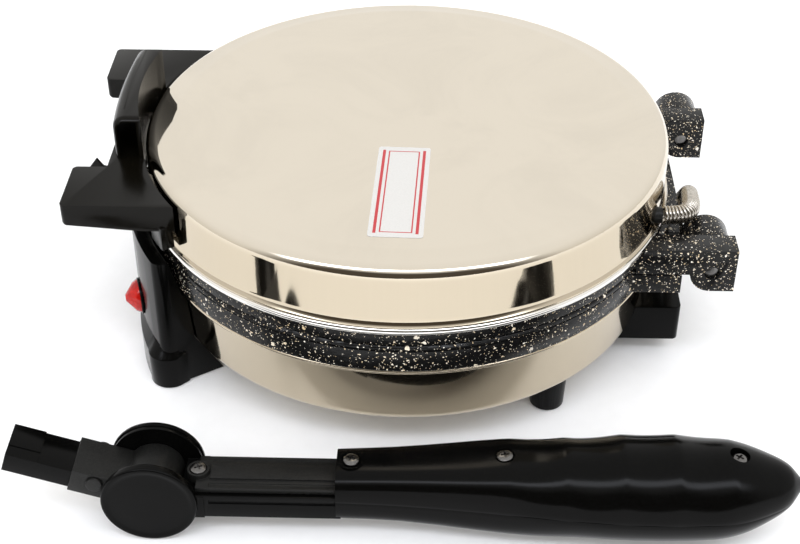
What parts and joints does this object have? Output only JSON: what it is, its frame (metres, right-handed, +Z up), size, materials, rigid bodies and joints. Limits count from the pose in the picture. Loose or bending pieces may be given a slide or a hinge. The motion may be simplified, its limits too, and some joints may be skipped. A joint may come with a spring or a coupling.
{
  "type": "electric roti maker",
  "caption": "Round electric roti maker with a hinged polished lid, speckled cooking plates, a black front housing and a detached lever handle lying beside it.",
  "frame": {"origin": "on the table under the middle of the bounding box of cooker and handle", "axes": "+Z up; the hinge is at the rear, +Y, and the indicator lens and lid bracket are at the front, -Y; the detached handle lies along Y on the +X side"},
  "size_m": [0.3108, 0.338, 0.1255],
  "materials": {
    "polished_steel": "mirror polished",
    "granite_coat": "dark non-stick coating with pale speckles",
    "ring_steel": "bright rolled ring",
    "gloss_black": "moulded, glossy",
    "bracket_black": "moulded, fine grain, semi-gloss",
    "handle_black": "moulded, semi-gloss",
    "grained_black": "moulded, grained",
    "fastener_steel": "zinc plated",
    "spring_steel": "drawn wire",
    "element_steel": "heat darkened",
    "spreader_metal": "mill finish",
    "terminal_brass": "plain",
    "insulation_wool": "mineral wool",
    "wire_sleeve": "woven heat-proof sleeve",
    "block_white": "moulded",
    "lens_red": "clear red, faceted",
    "lamp_glass": "clear",
    "bezel_black": "gloss",
    "label_white": "printed sticker, left blank",
    "foot_black": "moulded",
    "bar_steel": "plain bar"
  },
  "bodies": {
    "base": {"base_bowl": "polished_steel", "bottom_cooking_plate": "granite_coat", "bottom_heating_element": "element_steel", "bottom_element_terminals": "terminal_brass", "bottom_heat_spreader": "spreader_metal", "thermostat": "spreader_metal", "base_posts": "bar_steel", "base_post_screws": "fastener_steel", "terminal_block": "block_white", "base_wires": "wire_sleeve", "front_housing": "gloss_black", "housing_screws": "fastener_steel", "indicator_bezel": "bezel_black", "indicator_lens": "lens_red", "indicator_lamp": "lamp_glass", "rear_inlet_box": "gloss_black", "inlet_gland": "grained_black", "rear_feet": "foot_black", "foot_screws": "fastener_steel", "foot_nuts": "fastener_steel", "hinge_pins": "bar_steel", "hinge_clips": "spring_steel", "base_cable_gland": "grained_black", "cable_spring_sleeve": "spring_steel"},
    "lid": {"lid_cover": "polished_steel", "lid_trim_ring": "ring_steel", "top_cooking_plate": "granite_coat", "top_heating_element": "element_steel", "top_element_terminals": "terminal_brass", "top_heat_spreader": "spreader_metal", "lid_insulation": "insulation_wool", "lid_studs": "bar_steel", "lid_stud_nuts": "fastener_steel", "thermal_fuse": "block_white", "lid_wires": "wire_sleeve", "lid_front_bracket": "bracket_black", "handle_socket": "fastener_steel", "bracket_screws": "fastener_steel", "lid_label": "label_white", "lid_cable_clip": "grained_black"},
    "lever": {"lever_shaft_lower": "handle_black", "lever_shaft_upper": "grained_black", "lever_core": "bar_steel", "near_disc": "handle_black", "far_disc": "handle_black", "grip_lower": "handle_black", "grip_upper": "handle_black", "handle_screws": "fastener_steel", "pivot_pin": "bar_steel"},
    "short_arm": {"arm_sleeve": "grained_black", "plug_channel": "handle_black", "arm_rivet": "fastener_steel"}
  },
  "joints": [
    {"name": "lid_hinge", "type": "hinge", "parent": "base", "child": "lid", "pos_m": [-0.02817, 0.13995, 0.066], "axis": [-1, 0, 0], "range_deg": [0, 110], "deforming": ["cable_spring_sleeve"]},
    {"name": "handle_lift", "type": "slide", "parent": "base", "child": "lever", "axis": [0, 0, 1], "range_m": [0, 0.15]},
    {"name": "short_arm_pivot", "type": "hinge", "parent": "lever", "child": "short_arm", "pos_m": [0.13207, -0.10705, 0.0205], "axis": [-1, 0, 0], "range_deg": [-15, 60]}
  ]
}
